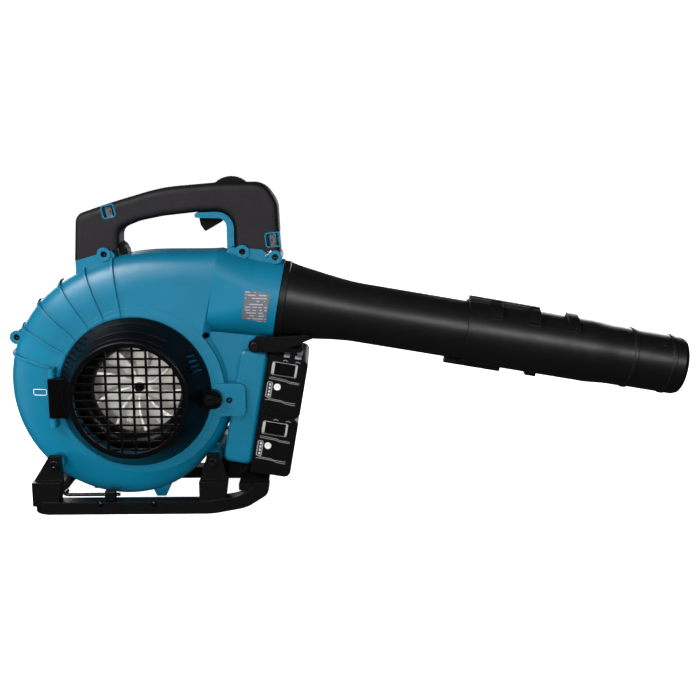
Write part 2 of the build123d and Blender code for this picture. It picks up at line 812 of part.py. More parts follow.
def pack_button(middle):
    """Release button, resting at the channel side of its recess."""
    with BuildPart() as button:
        with BuildSketch(stack_plane(PACK_FACE_Y + 2.5)):
            with Locations((BUTTON[0] - 0.4, middle + PACK_HEIGHT / 2 + BUTTON[1])):
                RectangleRounded(BUTTON_SIZE[0] - 0.6, BUTTON_SIZE[1] - 0.8, 1)
        extrude(amount=-6)
    return button.part


def pack_gauge(middle):
    """Charge gauge panel let into the face."""
    with BuildPart() as gauge:
        with BuildSketch(stack_plane(PACK_FACE_Y)):
            with Locations((GAUGE[0], middle + PACK_HEIGHT / 2 + GAUGE[1])):
                RectangleRounded(9.8, 19.8, 2.9)
        extrude(amount=-0.9)
    return gauge.part


def pack_check_button(middle):
    """Round button that lights the gauge."""
    with BuildPart() as check:
        with BuildSketch(stack_plane(PACK_FACE_Y - 0.7)):
            with Locations((CHECK[0], middle + PACK_HEIGHT / 2 + CHECK[1])):
                Circle(4.2)
        extrude(amount=-3.2)
        fillet(check.edges().group_by(Axis.Y)[0], 0.4)
    return check.part


PACK_PIECES = {
    "case": pack_case,
    "base": pack_base,
    "cells": pack_cells,
    "release": pack_button,
    "gauge": pack_gauge,
    "check": pack_check_button,
}
for pack in PACKS:
    pack_middle = pack_height_centre(pack)
    finish(terminal_holder(pack_middle), f"terminals_{pack}")
    for piece, make_piece in PACK_PIECES.items():
        finish(make_piece(pack_middle), f"battery_{pack}_{piece}")

# ---------------------------------------------------------------- inlet cover
COVER_BACK_Y = -HALF_DEPTH - 1.6
SKIRT_WALL = 2.6
GRILLE_RADIUS = 67
BAR_PITCH = 10.4
POST_PITCH = 16.6
LOCK = (-178.5, 144)

with BuildPart() as inlet_cover:
    with BuildSketch(side(COVER_BACK_Y)):
        add(fan_circle(COVER_BASE_RADIUS))
    with BuildSketch(side(-HALF_WIDTH + 4)):
        add(fan_circle(COVER_FACE_RADIUS))
    loft()
    with BuildSketch(side(-HALF_WIDTH + 4)):
        add(fan_circle(COVER_FACE_RADIUS))
    extrude(amount=4)
    fillet(inlet_cover.edges().group_by(Axis.Y)[0], 2)
    with BuildSketch(side(COVER_BACK_Y + 0.1)):
        add(fan_circle(COVER_BASE_RADIUS - SKIRT_WALL))
    with BuildSketch(side(-HALF_WIDTH + 4)):
        add(fan_circle(COVER_FACE_RADIUS - SKIRT_WALL))
    loft(mode=Mode.SUBTRACT)
    with BuildSketch(side(-HALF_WIDTH + 6)):
        add(fan_circle(GRILLE_RADIUS))
    extrude(amount=8, mode=Mode.SUBTRACT)
    # hinge arm and lock arm
    with BuildSketch(side(COVER_BACK_Y - 1)):
        with Locations(((HINGE_X + FAN_X - 80) / 2 + 4, FAN_Z - 4)):
            Rectangle(36, 50)
    extrude(amount=15)
    with BuildSketch(side(-55)):
        with Locations((LOCK[0] - 3, LOCK[1])):
            RectangleRounded(34, 24, 10)
    extrude(amount=8.6)
    with BuildSketch(side(COVER_BACK_Y)):
        add(fan_circle(COVER_BASE_RADIUS - SKIRT_WALL))
    with BuildSketch(side(-HALF_WIDTH + 4)):
        add(fan_circle(COVER_FACE_RADIUS - SKIRT_WALL))
    loft(mode=Mode.SUBTRACT)
    # inlet grille
    with BuildSketch(side(-HALF_WIDTH + 5)):
        for row in range(-6, 7):
            with Locations((FAN_X, FAN_Z + BAR_PITCH * row)):
                Rectangle(2 * GRILLE_RADIUS, 2.2)
        for post in range(-2, 4):
            with Locations((FAN_X + POST_PITCH * (post + 0.35), FAN_Z)):
                Rectangle(2.8, 2 * GRILLE_RADIUS)
        add(fan_circle(GRILLE_RADIUS + 1), mode=Mode.INTERSECT)
    extrude(amount=2.5)
    # air slots through the skirt, all in level planes
    for row in range(9):
        with BuildSketch(Plane.XY.offset(FAN_Z + 70 - 6 * row)):
            with Locations((FAN_X - 90, -66)):
                Rectangle(70, 26)
        extrude(amount=2.4, mode=Mode.SUBTRACT)
    for row in range(6):
        with BuildSketch(Plane.XY.offset(FAN_Z + 60 - 6 * row)):
            with Locations((FAN_X + 88, -66)):
                Rectangle(40, 26)
        extrude(amount=2.4, mode=Mode.SUBTRACT)
    with BuildSketch(Plane.XY.offset(FAN_Z - 40)):
        with Locations((HINGE_X, HINGE_Y)):
            Circle(2.05)
    extrude(amount=80, mode=Mode.SUBTRACT)
finish(inlet_cover.part, "inlet_cover")

with BuildPart() as cover_hinge_pin:
    with BuildSketch(Plane.XY.offset(HINGE_KNUCKLES[0][0] + 1)):
        with Locations((HINGE_X, HINGE_Y)):
            Circle(2)
    extrude(amount=HINGE_KNUCKLES[1][1] - HINGE_KNUCKLES[0][0] - 2)
finish(cover_hinge_pin.part, "cover_hinge_pin")

with BuildPart() as cover_lock:
    with BuildSketch(side(-64)):
        with Locations(LOCK):
            Circle(7)
        Polygon(
            (LOCK[0], LOCK[1] - 6), (LOCK[0] + 14, LOCK[1] - 3), (LOCK[0] + 14, LOCK[1] + 3),
            (LOCK[0], LOCK[1] + 6), align=None,
        )
    extrude(amount=4)
    with BuildSketch(side(-68)):
        with Locations(LOCK):
            Circle(5)
    extrude(amount=2)
    with BuildSketch(side(-70)):
        with Locations(LOCK):
            Rectangle(8, 1.4)
    extrude(amount=-1.2, mode=Mode.SUBTRACT)
finish(cover_lock.part, "cover_lock")

# ---------------------------------------------------------------- nozzle
NOZZLE_AXIS = Axis((OUTLET[0], 0, OUTLET[1]), (cos(radians(DROOP)), 0, -sin(radians(DROOP))))
PIPE_END = 345
TUBE_START = 242
TUBE_LENGTH = 289.9
NECK_START = 402
NECK_END = 440
HOOKS = [277, 277 + LOCK_STEP, 277 + 2 * LOCK_STEP]
HOOK_ARC = 50
GROOVE_RADIUS = TUBE_RADIUS - 1.1
TUBE_END = TUBE_START + TUBE_LENGTH

with BuildPart() as nozzle_pipe:
    with BuildSketch(revolve_plane()):
        with BuildLine():
            taper = Spline(
                (9, 50.2), (27, 46.6), (58, 42.3), (106, PIPE_RADIUS), tangents=((1, -0.3), (1, 0))
            )
            bore = Spline(
                (106, PIPE_RADIUS - PIPE_WALL), (58, 42.3 - PIPE_WALL), (27, 46.4 - PIPE_WALL), (-28, 46.4),
                tangents=((-1, 0), (-1, 0)),
            )
            Polyline(
                bore @ 1, (-28, 48.9), (-15.2, 48.9), (-15.2, 47.9), (-11.8, 47.9), (-11.8, 48.9),
                (0.6, 48.9), (0.6, 51), (8, 51), taper @ 0,
            )
            Polyline(taper @ 1, (PIPE_END, PIPE_RADIUS), (PIPE_END, PIPE_RADIUS - PIPE_WALL), bore @ 0)
        make_face()
    revolve(axis=NOZZLE_AXIS)
    # catch lug for the lever, and the peg that runs in the tube's groove
    with BuildSketch(nozzle_plane(18)):
        with Locations((0, -48.5)):
            Rectangle(12, 4.2)
    extrude(amount=5)
    with BuildSketch(nozzle_plane(HOOKS[1] - 4)):
        with Locations((0, PIPE_RADIUS)):
            Rectangle(7, 2.6)
    extrude(amount=8)
finish(nozzle_pipe.part, "nozzle_pipe")

with BuildPart() as nozzle_seal:
    with BuildSketch(nozzle_plane(-15)):
        Circle(49.4)
        Circle(47.95, mode=Mode.SUBTRACT)
    extrude(amount=3)
finish(nozzle_seal.part, "nozzle_seal")


def lock_hook(run, start, inner, outer, width, arc):
    """Branch of the locking track, wrapped part way around the tube."""
    with BuildPart() as hook:
        with BuildSketch(revolve_plane()):
            with Locations((run, start * (inner + outer) / 2)):
                Rectangle(width, outer - inner)
        revolve(axis=NOZZLE_AXIS, revolution_arc=arc)
    return hook.part


with BuildPart() as nozzle_tube:
    with BuildSketch(revolve_plane()):
        with BuildLine():
            neck = Spline(
                (NECK_START, TUBE_RADIUS), (NECK_END, TIP_RADIUS + 0.9), tangents=((1, 0.05), (1, -0.02))
            )
            Polyline((TUBE_START, 0), (TUBE_START, TUBE_RADIUS), neck @ 0)
            Polyline(
                neck @ 1, (459, TIP_RADIUS + 0.8), (460, TIP_RADIUS + 2), (464, TIP_RADIUS + 2),
                (465, TIP_RADIUS + 0.3), (510, TIP_RADIUS + 0.3), (511, TIP_RADIUS + 1.5),
                (515, TIP_RADIUS + 1.5), (516, TIP_RADIUS + 0.4), (TUBE_END - 5, TIP_RADIUS + 0.4),
                (TUBE_END, TIP_RADIUS - 1.6), (TUBE_END, 0), (TUBE_START, 0),
            )
        make_face()
    revolve(axis=NOZZLE_AXIS)
    for turn_sign, channel_start, channel_run in ((1, TUBE_START, 92), (-1, TUBE_START - 17, 74)):
        with BuildSketch(nozzle_plane(channel_start)):
            with Locations((-3 * turn_sign, turn_sign * TUBE_RADIUS)):
                RectangleRounded(13, 11, 2.5)
        extrude(amount=channel_run)
        for hook_run in HOOKS if turn_sign > 0 else (HOOKS[0] + 14, HOOKS[2] - 36):
            add(lock_hook(hook_run, turn_sign, TUBE_RADIUS - 1, TUBE_RADIUS + 4.8, 14.4, HOOK_ARC))
    # bayonet pegs for a flat end nozzle
    for turn in (40, 220):
        with BuildSketch(radial_plane(500, turn).offset(TIP_RADIUS - 1)):
            Circle(2.8)
        extrude(amount=4.2)
    # bore, then the track that the pipe's peg runs in
    with BuildSketch(revolve_plane()):
        with BuildLine():
            throat = Spline(
                (NECK_START, PIPE_RADIUS + 0.7), (NECK_END, TIP_RADIUS - 1.4),
                tangents=((1, -0.02), (1, -0.02)),
            )
            Polyline(
                throat @ 1, (TUBE_END + 1, TIP_RADIUS - 1.6), (TUBE_END + 1, 0), (TUBE_START - 30, 0),
                (TUBE_START - 30, PIPE_RADIUS + 0.7), throat @ 0,
            )
        make_face()
    revolve(axis=NOZZLE_AXIS, mode=Mode.SUBTRACT)
    with BuildSketch(nozzle_plane(TUBE_START - 1)):
        with Locations((0, GROOVE_RADIUS - 2)):
            Rectangle(8.4, 4)
    extrude(amount=HOOKS[2] + 5.5 - TUBE_START, mode=Mode.SUBTRACT)
    for hook_run in HOOKS:
        groove = lock_hook(hook_run, 1, GROOVE_RADIUS - 2, GROOVE_RADIUS, 9, HOOK_ARC - 4)
        add(groove, mode=Mode.SUBTRACT)
finish(nozzle_tube.part, "nozzle_tube")

with BuildPart() as nozzle_lever:
    with BuildSketch(side(-49)):
        with Locations(LEVER_PIVOT):
            Circle(8)
        Polygon(
            (-122, 203), (-101, 203.2), (-89, 204.2), (-69.6, 212.1), (-51, 219.4), (-57, 224), (-97, 222),
            (-120, 222.4), (-128, 215),
            align=None,
        )
    extrude(amount=7)
    with BuildSketch(side(-30)):
        Polygon((-98, 203.6), (-66, 200.8), (-62.5, 203), (-68, 205.5), (-98, 207.2), align=None)
    extrude(amount=20)
    with BuildSketch(side(8)):
        Polygon((-77, 201.8), (-66, 200.8), (-64, 202), (-64, 205.2), (-77, 205.9), align=None)
    extrude(amount=40)
    with BuildSketch(side(8)):
        Polygon((-75, 204), (-70, 204), (-70.5, 209), (-74, 209.2), align=None)
    extrude(amount=16)
    with BuildSketch(side(-40)):
        with Locations(LEVER_PIVOT):
            Circle(2.8)
    extrude(amount=20, mode=Mode.SUBTRACT)
    with BuildSketch(side(-54)):
        with Locations(LEVER_PIVOT):
            Circle(5)
    extrude(amount=5, mode=Mode.SUBTRACT)
finish(nozzle_lever.part, "nozzle_lever")

with BuildPart() as lever_screw:
    with BuildSketch(side(-39)):
        with Locations(LEVER_PIVOT):
            Circle(2.35)
    extrude(amount=15.3)
    with BuildSketch(side(-54.3)):
        with Locations(LEVER_PIVOT):
            Circle(4.5)
            RegularPolygon(1.6, 6, mode=Mode.SUBTRACT)
    extrude(amount=2.7)
finish(lever_screw.part, "lever_screw")

with BuildPart() as lever_spring:
    for coil in range(3):
        with BuildSketch(side(-44.3 - 1.4 * coil)):
            with Locations(LEVER_PIVOT):
                Circle(5.2)
                Circle(3.4, mode=Mode.SUBTRACT)
        extrude(amount=1.2)
    with BuildSketch(side(-44.3)):
        with Locations(LEVER_PIVOT):
            Circle(4.5)
            Circle(3.4, mode=Mode.SUBTRACT)
    extrude(amount=4)
finish(lever_spring.part, "lever_spring")

# ---------------------------------------------------------------- stand
RAIL_OUTER = RAIL_Y + RAIL_WIDTH / 2
RAIL_INNER = RAIL_Y - RAIL_WIDTH / 2
STAND_REAR_X = -404
REAR_JOIN_X = -370
STAND_FRONT_X = -106
LEG_PLATE_Y = 57.4

with BuildPart() as stand:
    with BuildSketch(side(-RAIL_INNER)):
        with BuildLine():
            FilletPolyline(
                (REAR_JOIN_X, 0), (-178, 0), (-134, 8), (STAND_FRONT_X, 26), (STAND_FRONT_X, 40), (-124, 40),
                (-126, 33), (-146, 22), (-182, RAIL_HEIGHT), (REAR_JOIN_X, RAIL_HEIGHT),
                radius=[90, 40, 14, 3, 3, 8, 30, 90],
            )
            Line((REAR_JOIN_X, RAIL_HEIGHT), (REAR_JOIN_X, 0))
        make_face()
    extrude(amount=RAIL_WIDTH)
    # legs: a foot block on the rail narrows to the plate that is bolted to the housing
    for (ear_x, ear_z), lean in zip(STAND_EARS, (-8, 2)):
        with BuildSketch(side(-LEG_PLATE_Y)):
            Polygon(
                (ear_x - 7, ear_z + 10), (ear_x + 7, ear_z + 10),
                (ear_x + 17 + lean, 40), (ear_x - 19 + lean, 40),
                align=None,
            )
        extrude(amount=9)
        with BuildSketch(side(-LEG_PLATE_Y)):
            Polygon(
                (ear_x - 19 + lean, 41), (ear_x + 17 + lean, 41),
                (ear_x + 13 + lean, 10), (ear_x - 19 + lean, 10),
                align=None,
            )
        extrude(amount=RAIL_OUTER - LEG_PLATE_Y - 3)
        with BuildSketch(side(-LEG_PLATE_Y - 20)):
            with Locations((ear_x, ear_z)):
                Circle(3.2)
        extrude(amount=-21, mode=Mode.SUBTRACT)
    mirror(about=Plane.XZ)
    # rounded rear end, then the cross members under the battery column
    with BuildSketch(Plane.XY):
        with BuildLine():
            FilletPolyline(
                (REAR_JOIN_X, -RAIL_OUTER), (STAND_REAR_X, -RAIL_OUTER), (STAND_REAR_X, RAIL_OUTER),
                (REAR_JOIN_X, RAIL_OUTER),
                radius=24,
            )
            FilletPolyline(
                (REAR_JOIN_X, RAIL_OUTER), (REAR_JOIN_X, RAIL_INNER), (STAND_REAR_X + RAIL_WIDTH, RAIL_INNER),
                (STAND_REAR_X + RAIL_WIDTH, -RAIL_INNER), (REAR_JOIN_X, -RAIL_INNER),
                (REAR_JOIN_X, -RAIL_OUTER),
                radius=[0.1, 6, 6, 0.1],
            )
        make_face()
    extrude(amount=RAIL_HEIGHT)
    with BuildSketch(Plane.XY.offset(30)):
        with Locations((-126, 0)):
            Rectangle(36, 2 * RAIL_OUTER - 6)
    extrude(amount=8)
    with BuildSketch(Plane.XY.offset(30)):
        with Locations((-150, 0)):
            Rectangle(22, 60)
    extrude(amount=20)
finish(stand.part, "stand")

with BuildPart() as stand_bolts:
    for y_sign in (-1, 1):
        for ear_x, ear_z in STAND_EARS:
            with BuildSketch(side(y_sign * 45)):
                with Locations((ear_x, ear_z)):
                    Circle(3)
            extrude(amount=-y_sign * (LEG_PLATE_Y + 9 - 45))
            with BuildSketch(side(y_sign * (LEG_PLATE_Y + 9))):
                with Locations((ear_x, ear_z)):
                    Circle(5)
                    RegularPolygon(2.3, 6, mode=Mode.SUBTRACT)
            extrude(amount=-y_sign * 3.5)
finish(stand_bolts.part, "stand_bolts")

# ---------------------------------------------------------------- stowed wrench, screws, label
WRENCH_Y = -72
WRENCH_Z = 24
CLIP_X = -306

with BuildPart() as hex_wrench:
    with BuildLine() as wrench_path:
        FilletPolyline(
            (CLIP_X + 12, WRENCH_Y, WRENCH_Z), (-364, WRENCH_Y, WRENCH_Z), (-364, WRENCH_Y + 16, WRENCH_Z),
            radius=6,
        )
    with BuildSketch(Plane(origin=(CLIP_X + 12, WRENCH_Y, WRENCH_Z), z_dir=(-1, 0, 0))):
        RegularPolygon(2.4, 6)
    sweep(path=wrench_path.wires()[0])
finish(hex_wrench.part, "hex_wrench")

with BuildPart() as wrench_clip:
    with BuildSketch(Plane.YZ.offset(CLIP_X - 6)):
        with Locations((WRENCH_Y, RAIL_HEIGHT + 7)):
            RectangleRounded(13, 13.6, 2)
        with Locations((WRENCH_Y, WRENCH_Z)):
            Circle(2.6, mode=Mode.SUBTRACT)
        with Locations((WRENCH_Y, WRENCH_Z + 4)):
            Rectangle(3.2, 8, mode=Mode.SUBTRACT)
    extrude(amount=12)
finish(wrench_clip.part, "wrench_clip")

with BuildPart() as housing_screws:
    for screw_x, screw_z in HANDLE_BOSSES + [REAR_BOSS, WEB_SCREW]:
        with BuildSketch(side(16)):
            with Locations((screw_x, screw_z)):
                Circle(1.85)
        extrude(amount=35.2)
        with BuildSketch(side(-19.2)):
            with Locations((screw_x, screw_z)):
                Circle(3.7)
                RegularPolygon(1.7, 6, mode=Mode.SUBTRACT)
        extrude(amount=2.2)
    with BuildSketch(side(-50.7)):
        with Locations(LATCH_BOSS):
            Circle(3.7)
            RegularPolygon(1.7, 6, mode=Mode.SUBTRACT)
    extrude(amount=2.2)
finish(housing_screws.part, "housing_screws")

with BuildPart() as rating_label:
    add(duct_body(-84, 0, -0.35))
    add(duct_body(-84, 0.1, 0), mode=Mode.SUBTRACT)
    with BuildSketch(revolve_plane()):
        with Locations((-26, -6)):
            RectangleRounded(31, 37, 1.5)
    extrude(amount=70, mode=Mode.INTERSECT)
finish(rating_label.part, "rating_label")
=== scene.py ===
"""Looks of the handheld leaf blower: materials, small moulded and printed details, light, camera."""

import json
import math

import bmesh
import bpy
from mathutils import Matrix, Vector
from mathutils.bvhtree import BVHTree


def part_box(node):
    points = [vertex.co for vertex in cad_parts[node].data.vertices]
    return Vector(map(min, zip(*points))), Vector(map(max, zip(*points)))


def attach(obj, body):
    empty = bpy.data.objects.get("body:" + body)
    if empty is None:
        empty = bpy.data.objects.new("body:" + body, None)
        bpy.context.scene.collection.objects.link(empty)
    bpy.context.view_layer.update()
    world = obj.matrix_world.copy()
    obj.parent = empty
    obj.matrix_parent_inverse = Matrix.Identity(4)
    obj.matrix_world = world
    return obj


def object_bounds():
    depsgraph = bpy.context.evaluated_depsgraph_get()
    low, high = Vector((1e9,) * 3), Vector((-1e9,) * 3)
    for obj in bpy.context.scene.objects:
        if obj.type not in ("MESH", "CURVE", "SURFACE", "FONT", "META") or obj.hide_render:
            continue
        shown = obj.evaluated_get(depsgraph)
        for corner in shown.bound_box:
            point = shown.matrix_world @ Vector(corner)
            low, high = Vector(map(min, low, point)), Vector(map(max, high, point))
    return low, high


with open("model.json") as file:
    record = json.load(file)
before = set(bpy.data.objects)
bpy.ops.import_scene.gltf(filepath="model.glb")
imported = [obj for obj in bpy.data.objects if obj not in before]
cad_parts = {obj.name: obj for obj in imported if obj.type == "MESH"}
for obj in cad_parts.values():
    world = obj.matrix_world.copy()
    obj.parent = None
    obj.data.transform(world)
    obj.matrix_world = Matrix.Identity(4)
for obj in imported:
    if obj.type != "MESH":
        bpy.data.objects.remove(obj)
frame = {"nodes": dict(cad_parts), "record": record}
CAD_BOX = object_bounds()
NODES = frame["nodes"]
MM = 0.001

# the nozzle, the duct and the battery stack all droop by this much
DROOP = math.radians(9.7)
OUTWARD = Vector((math.cos(DROOP), 0, -math.sin(DROOP)))
UPWARD = Vector((math.sin(DROOP), 0, math.cos(DROOP)))
TO_VIEWER = Vector((0, -1, 0))


# ------------------------------------------------------------------ materials
class Shader:
    """A material being wired up: add() makes a node, and links or sets its inputs."""

    def __init__(self, name):
        self.material = bpy.data.materials.new(name)
        self.material.use_nodes = True
        self.tree = self.material.node_tree
        self.tree.nodes.clear()
        self.place = self.add("ShaderNodeTexCoord").outputs["Object"]

    def add(self, kind, settings=None, **inputs):
        """Inputs go by name, with _ for a space, or by number, as _0 for the first one."""
        node = self.tree.nodes.new(kind)
        for key, value in (settings or {}).items():
            setattr(node, key, value)
        for key, value in inputs.items():
            socket = node.inputs[int(key[1:])] if key[0] == "_" else node.inputs[key.replace("_", " ")]
            if isinstance(value, bpy.types.NodeSocket):
                self.tree.links.new(value, socket)
            else:
                socket.default_value = value
        return node

    def along(self, axis):
        """How far along the X, Y or Z axis the shaded point is, in metres."""
        return self.add("ShaderNodeSeparateXYZ", Vector=self.place).outputs[axis]

    def noise(self, size, detail):
        """Noise, 0 to 1, whose blotches are about size across, in metres."""
        texture = self.add("ShaderNodeTexNoise", Vector=self.place, Scale=1 / size, Detail=detail)
        return texture.outputs["Fac"]

    def squeezed(self, factors, kind, output, **inputs):
        """A texture's output, with the texture squeezed by a factor along each axis."""
        mapped = self.add("ShaderNodeMapping", Vector=self.place, Scale=factors).outputs[0]
        return self.add(kind, Vector=mapped, **inputs).outputs[output]

    def maths(self, operation, first, second=0.0):
        return self.add("ShaderNodeMath", {"operation": operation}, _0=first, _1=second).outputs[0]

    def remap(self, value, low, high, out_low, out_high):
        ranged = self.add("ShaderNodeMapRange", Value=value)
        for socket, number in zip(ranged.inputs[1:5], (low, high, out_low, out_high)):
            socket.default_value = number
        return ranged.outputs["Result"]

    def spread(self, noise, out_low=0, out_high=1):
        """Noise keeps mostly to its middle, so its middle is spread over the whole output."""
        return self.remap(noise, 0.3, 0.7, out_low, out_high)

    def between(self, value, low, high):
        """1 where the value lies between the two, and 0 elsewhere."""
        above = self.maths("GREATER_THAN", value, low)
        return self.maths("MULTIPLY", above, self.maths("LESS_THAN", value, high))

    def mix(self, share, first, second):
        node = self.add("ShaderNodeMix", {"data_type": "RGBA"}, _0=share, _6=first, _7=second)
        return node.outputs[2]

    def rounded(self, radius):
        """Normal that is rounded over sharp edges, and a mask that is 1 along those edges."""
        soft = self.add("ShaderNodeBevel", {"samples": 4}, Radius=radius).outputs["Normal"]
        flat = self.add("ShaderNodeNewGeometry").outputs["Normal"]
        likeness = self.add("ShaderNodeVectorMath", {"operation": "DOT_PRODUCT"}, _0=soft, _1=flat)
        mask = self.remap(likeness.outputs["Value"], 0.999, 0.93, 0, 1)
        return soft, mask

    def bump(self, height, strength, depth, normal=None):
        inputs = {"Height": height, "Strength": strength, "Distance": depth}
        if normal is not None:
            inputs["Normal"] = normal
        return self.add("ShaderNodeBump", **inputs).outputs["Normal"]

    def finish(self, **inputs):
        surface = self.add("ShaderNodeBsdfPrincipled", **inputs)
        self.add("ShaderNodeOutputMaterial", Surface=surface.outputs[0])
        return self.material


def tint(colour, factor):
    """The colour made darker or paler by a factor, with its alpha."""
    return tuple(min(1, c * factor) for c in colour[:3]) + (1,)


def moulded(name, colour, roughness, grain=0.0005, depth=0.00006, rounding=0.0007, wear=1.5, specular=0.5):
    """Moulded plastic: spark-eroded grain, faint flow marks and scuffs, edges polished by handling.

    grain, depth and rounding are in metres; wear is how many times paler a worn edge is.
    """
    m = Shader(name)
    normal, edge = m.rounded(rounding)
    flow = m.spread(m.noise(0.055, 2))
    body = m.mix(flow, tint(colour, 0.93), tint(colour, 1.08))
    scuffs = m.remap(m.noise(0.009, 6), 0.5, 0.75, 0, 1)
    worn = m.maths("MULTIPLY", edge, m.remap(m.noise(0.012, 4), 0.35, 0.6, 0.25, 1))
    body = m.mix(worn, body, tint(colour, wear))
    rough = m.remap(scuffs, 0, 1, roughness, roughness + 0.07)
    rough = m.remap(m.maths("ADD", rough, m.maths("MULTIPLY", edge, -0.06)), 0, 1, 0.02, 1)
    ripple = m.bump(m.noise(0.018, 2), 0.25, 0.0004, normal)
    grainy = m.bump(m.noise(grain, 2), 0.35, depth, ripple)
    return m.finish(Base_Color=body, Roughness=rough, Normal=grainy, Specular_IOR_Level=specular)


def printed(name, colour, roughness, rounding=0.0001, wear=1.1):
    """Ink, film or a small smooth moulding: moulded() with next to no grain."""
    return moulded(name, colour, roughness, depth=0.00001, rounding=rounding, wear=wear)


def handle_rubber():
    """Charcoal panels on the flat sides; near-black round the edges, which is partly the soft over-moulded
    rubber and partly painted shade where the rounded edges turn away from the light.
    """
    m = Shader("handle_rubber")
    normal, edge = m.rounded(0.0008)
    from_middle = m.maths("ABSOLUTE", m.along("Y"))
    panel = m.remap(from_middle, 0.0176, 0.0192, 0, 1)
    flow = m.spread(m.noise(0.05, 3))
    charcoal = m.mix(flow, (0.0075, 0.0066, 0.0078, 1), (0.0105, 0.0093, 0.0108, 1))
    # near-black round the edges: partly the over-moulded rubber's own colour, partly painted shade on the
    # rounded edges
    overmould_and_painted_shade = m.mix(flow, (0.002, 0.002, 0.0022, 1), (0.0035, 0.0033, 0.0035, 1))
    body = m.mix(panel, overmould_and_painted_shade, charcoal)
    body = m.mix(m.maths("MULTIPLY", edge, 0.4), body, (0.07, 0.065, 0.068, 1))
    stipple = m.add("ShaderNodeTexVoronoi", Vector=m.place, Scale=1300.0).outputs["Distance"]
    return m.finish(
        Base_Color=body, Roughness=m.remap(m.noise(0.006, 4), 0.35, 0.7, 0.56, 0.68),
        Normal=m.bump(stipple, 0.5, 0.00012, normal), Specular_IOR_Level=0.2,
    )


def metal(name, colour, roughness, squeeze=(60, 60, 2400), wear=0.0):
    """Bare metal: fine lines across the axis that is squeezed most, and uneven sheen."""
    m = Shader(name)
    normal, edge = m.rounded(0.0004)
    lines = m.squeezed(squeeze, "ShaderNodeTexNoise", "Fac", Scale=20.0, Detail=4.0)
    body = m.mix(m.remap(lines, 0.35, 0.65, 0, 1), tint(colour, 0.82), tint(colour, 1.1))
    body = m.mix(m.maths("MULTIPLY", edge, wear), body, (0.55, 0.55, 0.56, 1))
    rough = m.spread(m.noise(0.004, 4), roughness - 0.05, roughness + 0.1)
    fine = m.bump(lines, 0.3, 0.00003, normal)
    return m.finish(Base_Color=body, Metallic=1.0, Roughness=rough, Normal=fine)


def laminations():
    """Motor iron: thin sheets stacked along the shaft, with paler edges."""
    m = Shader("motor_iron")
    sheet = 0.7 * MM
    normal, edge = m.rounded(0.0004)
    sheets = m.maths("SINE", m.maths("MULTIPLY", m.along("Y"), 2 * math.pi / sheet))
    body = m.mix(m.remap(sheets, -1, 1, 0, 1), (0.16, 0.16, 0.17, 1), (0.34, 0.34, 0.35, 1))
    body = m.mix(edge, body, (0.6, 0.6, 0.61, 1))
    return m.finish(
        Base_Color=body, Metallic=1.0, Roughness=m.spread(m.noise(0.003, 4), 0.35, 0.5),
        Normal=m.bump(sheets, 0.4, 0.00005, normal),
    )


def printed_label():
    """Dark grey film sticker with broken pale bars in place of print, no lettering."""
    m = Shader("label_film")
    bars, slope = 11.0, 0.03
    low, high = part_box("rating_label")
    up = m.remap(m.along("Z"), low.z, high.z, 0, 1)
    across = m.remap(m.along("X"), low.x, high.x, 0, 1)
    tilted = m.maths("ADD", up, m.maths("MULTIPLY", across, slope))
    in_bar = m.between(m.maths("FRACT", m.maths("MULTIPLY", tilted, bars)), 0.35, 0.72)
    dashes = m.squeezed((260, 1, 230), "ShaderNodeTexVoronoi", "Color", Scale=1.0)
    broken = m.maths("GREATER_THAN", m.add("ShaderNodeSeparateColor", Color=dashes).outputs[0], 0.42)
    inside = m.between(across, 0.14, 0.88)
    ink = m.maths("MULTIPLY", m.maths("MULTIPLY", in_bar, broken), inside)
    film = m.mix(m.noise(0.03, 2), (0.060, 0.062, 0.074, 1), (0.078, 0.080, 0.093, 1))
    body = m.mix(m.maths("MULTIPLY", ink, 0.7), film, (0.30, 0.30, 0.32, 1))
    return m.finish(
        Base_Color=body, Roughness=m.spread(m.noise(0.002, 3), 0.38, 0.5),
        Normal=m.bump(m.noise(0.0006, 2), 0.15, 0.00003),
    )


def heat_shrink():
    """Thin green wrap shrunk round the cells, with faint wrinkles along them."""
    m = Shader("cell_wrap")
    folds = m.squeezed((400, 30, 400), "ShaderNodeTexNoise", "Fac", Scale=1.0, Detail=3.0)
    body = m.mix(m.noise(0.02, 3), (0.02, 0.12, 0.06, 1), (0.03, 0.17, 0.09, 1))
    return m.finish(
        Base_Color=body, Roughness=m.spread(folds, 0.22, 0.35), Normal=m.bump(folds, 0.3, 0.0001),
    )


TEAL = (0.0005, 0.088, 0.152)

